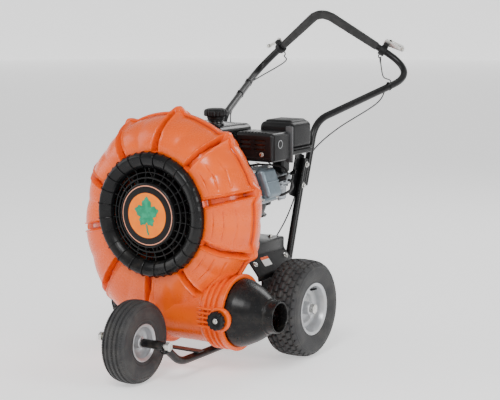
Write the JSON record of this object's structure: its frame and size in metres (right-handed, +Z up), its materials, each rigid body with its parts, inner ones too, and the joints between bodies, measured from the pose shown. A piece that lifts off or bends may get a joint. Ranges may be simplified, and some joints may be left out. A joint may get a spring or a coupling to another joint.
{
  "type": "walk behind leaf blower",
  "caption": "Walk-behind blower: engine-driven fan in a moulded scroll housing with side discharge nozzle, on a three-wheel tube frame with a bent push handle.",
  "frame": {"origin": "on the ground, at the bottom centre of the machine's outer box; the rear axle's middle is at x = -0.0135, y = -0.0617", "axes": "+Z up, -Y the way the machine is pushed (fan intake side), +X the operator's left (air outlet side), wheel axles along X, crankshaft along Y"},
  "size_m": [0.785, 1.5384, 1.1523],
  "materials": {
    "orange_plastic": "satin moulded",
    "black_plastic": "satin moulded",
    "badge_plastic": "gloss",
    "black_paint": "powder coated",
    "fan_polymer": "moulded, glass filled",
    "cast_aluminium": "cast",
    "dark_aluminium": "cast, painted dark grey",
    "zinc_steel": "zinc plated",
    "silver_paint": "silver paint",
    "tyre_rubber": "matte rubber",
    "belt_rubber": "matte rubber",
    "foam_rubber": "closed-cell foam",
    "exhaust_steel": "dark heat-resistant coating",
    "filter_paper": "pleated paper",
    "cable_sheath": "extruded sheath"
  },
  "bodies": {
    "frame": {"housing_front_shell": "orange_plastic", "housing_rear_shell": "orange_plastic", "intake_grille": "black_plastic", "intake_badge": "badge_plastic", "housing_mount_plate": "black_paint", "engine_base": "black_paint", "axle_plate_left": "black_paint", "axle_plate_right": "black_paint", "frame_rail_left": "black_paint", "frame_rail_right": "black_paint", "front_cross_strap": "black_paint", "front_axle": "zinc_steel", "lower_post_left": "black_paint", "lower_post_right": "black_paint", "upper_handle": "black_paint", "foam_grip": "foam_rubber", "drive_clamp": "black_plastic", "throttle_clamp": "black_plastic", "drive_cable": "cable_sheath", "throttle_cable": "cable_sheath", "engine_block": "dark_aluminium", "cylinder_head": "cast_aluminium", "valve_cover": "cast_aluminium", "spark_plug_cap": "black_plastic", "recoil_cover": "black_paint", "muffler": "exhaust_steel", "muffler_guard": "black_paint", "carburettor": "cast_aluminium", "air_cleaner_base": "black_plastic", "air_filter": "filter_paper", "air_cleaner_cover": "black_plastic", "fuel_tank": "black_paint", "drive_belt": "belt_rubber", "gearbox_case": "cast_aluminium"},
    "fan_shaft": {"crankshaft": "zinc_steel", "impeller": "fan_polymer", "impeller_bolt": "zinc_steel", "crank_pulley": "zinc_steel", "flywheel": "cast_aluminium"},
    "nozzle": {"discharge_nozzle": "black_plastic"},
    "nozzle_lock": {"nozzle_knob": "black_plastic"},
    "front_wheel": {"front_tyre": "tyre_rubber", "front_rim": "silver_paint"},
    "rear_wheel_left": {"rear_tyre_left": "tyre_rubber", "rear_rim_left": "silver_paint"},
    "rear_wheel_right": {"rear_tyre_right": "tyre_rubber", "rear_rim_right": "silver_paint"},
    "drive_axle": {"rear_axle": "zinc_steel"},
    "gearbox_input": {"worm_shaft": "zinc_steel"},
    "belt_tensioner": {"idler_arm": "zinc_steel"},
    "tensioner_roller": {"idler_pulley": "zinc_steel"},
    "drive_control": {"drive_lever": "zinc_steel"},
    "throttle_control": {"throttle_lever": "zinc_steel"},
    "fuel_filler_cap": {"fuel_cap": "black_plastic"},
    "choke": {"choke_lever": "black_plastic"},
    "fuel_valve": {"fuel_lever": "black_plastic"},
    "ignition_switch": {"engine_switch": "black_plastic"},
    "oil_filler_dipstick": {"oil_dipstick": "black_plastic"},
    "starter_pull": {"recoil_grip": "black_plastic"}
  },
  "joints": [
    {"name": "fan_spin", "type": "hinge", "parent": "frame", "child": "fan_shaft", "pos_m": [-0.0135, -0.35174, 0.515], "axis": [0, 1, 0], "continuous": true},
    {"name": "nozzle_swivel", "type": "hinge", "parent": "frame", "child": "nozzle", "pos_m": [0.2485, -0.35174, 0.198], "axis": [1, 0, 0], "range_deg": [-90, 90]},
    {"name": "nozzle_knob_turn", "type": "hinge", "parent": "frame", "child": "nozzle_lock", "pos_m": [0.2425, -0.48404, 0.198], "axis": [0, -1, 0], "range_deg": [-720, 0]},
    {"name": "front_wheel_spin", "type": "hinge", "parent": "frame", "child": "front_wheel", "pos_m": [0.0265, -0.63574, 0.1335], "axis": [1, 0, 0], "continuous": true},
    {"name": "rear_wheel_left_spin", "type": "hinge", "parent": "drive_axle", "child": "rear_wheel_left", "pos_m": [0.3035, -0.06174, 0.165], "axis": [1, 0, 0], "continuous": true},
    {"name": "rear_wheel_right_spin", "type": "hinge", "parent": "drive_axle", "child": "rear_wheel_right", "pos_m": [-0.3305, -0.06174, 0.165], "axis": [1, 0, 0], "continuous": true},
    {"name": "drive_axle_spin", "type": "hinge", "parent": "frame", "child": "drive_axle", "pos_m": [-0.0135, -0.06174, 0.165], "axis": [1, 0, 0], "continuous": true},
    {"name": "gearbox_input_spin", "type": "hinge", "parent": "frame", "child": "gearbox_input", "pos_m": [-0.0135, -0.06174, 0.215], "axis": [0, 1, 0], "continuous": true},
    {"name": "belt_tensioner_swing", "type": "hinge", "parent": "frame", "child": "belt_tensioner", "pos_m": [0.1125, -0.21434, 0.44], "axis": [0, 1, 0], "range_deg": [0, 12]},
    {"name": "tensioner_roller_spin", "type": "hinge", "parent": "belt_tensioner", "child": "tensioner_roller", "pos_m": [0.0685, -0.22874, 0.372], "axis": [0, 1, 0], "continuous": true},
    {"name": "drive_lever_squeeze", "type": "hinge", "parent": "frame", "child": "drive_control", "pos_m": [0.22587, 0.73776, 1.02706], "axis": [0.2425, -0.9566, -0.1619], "range_deg": [0, 24], "stiffness_Nm_per_rad": 1, "springref_deg": -22.92},
    {"name": "throttle_lever_swing", "type": "hinge", "parent": "frame", "child": "throttle_control", "pos_m": [-0.25287, 0.73776, 1.02706], "axis": [0.2425, 0.9566, 0.1619], "range_deg": [0, 60]},
    {"name": "fuel_cap_turn", "type": "hinge", "parent": "frame", "child": "fuel_filler_cap", "pos_m": [-0.0135, -0.09774, 0.788], "axis": [0, 0, 1], "range_deg": [0, 90]},
    {"name": "choke_lever_swing", "type": "hinge", "parent": "frame", "child": "choke", "pos_m": [0.1685, 0.08856, 0.59], "axis": [0, 1, 0], "range_deg": [0, 40]},
    {"name": "fuel_lever_swing", "type": "hinge", "parent": "frame", "child": "fuel_valve", "pos_m": [0.1365, 0.08856, 0.574], "axis": [0, 1, 0], "range_deg": [0, 35]},
    {"name": "ignition_switch_turn", "type": "hinge", "parent": "frame", "child": "ignition_switch", "pos_m": [-0.1378, -0.02874, 0.585], "axis": [1, 0, 0], "range_deg": [0, 45]},
    {"name": "oil_dipstick_turn", "type": "hinge", "parent": "frame", "child": "oil_filler_dipstick", "pos_m": [-0.1188, -0.12174, 0.424], "axis": [1, 0, 0], "range_deg": [0, 720]},
    {"name": "starter_pull_slide", "type": "slide", "parent": "frame", "child": "starter_pull", "axis": [0, 1, 0], "range_m": [0, 0.5], "stiffness_N_per_m": 20, "springref_m": -0.4}
  ],
  "couplings": [
    {"joint": "gearbox_input_spin", "follows": "drive_axle_spin", "ratio": 12},
    {"joint": "belt_tensioner_swing", "follows": "drive_lever_squeeze", "ratio": 0.5}
  ]
}
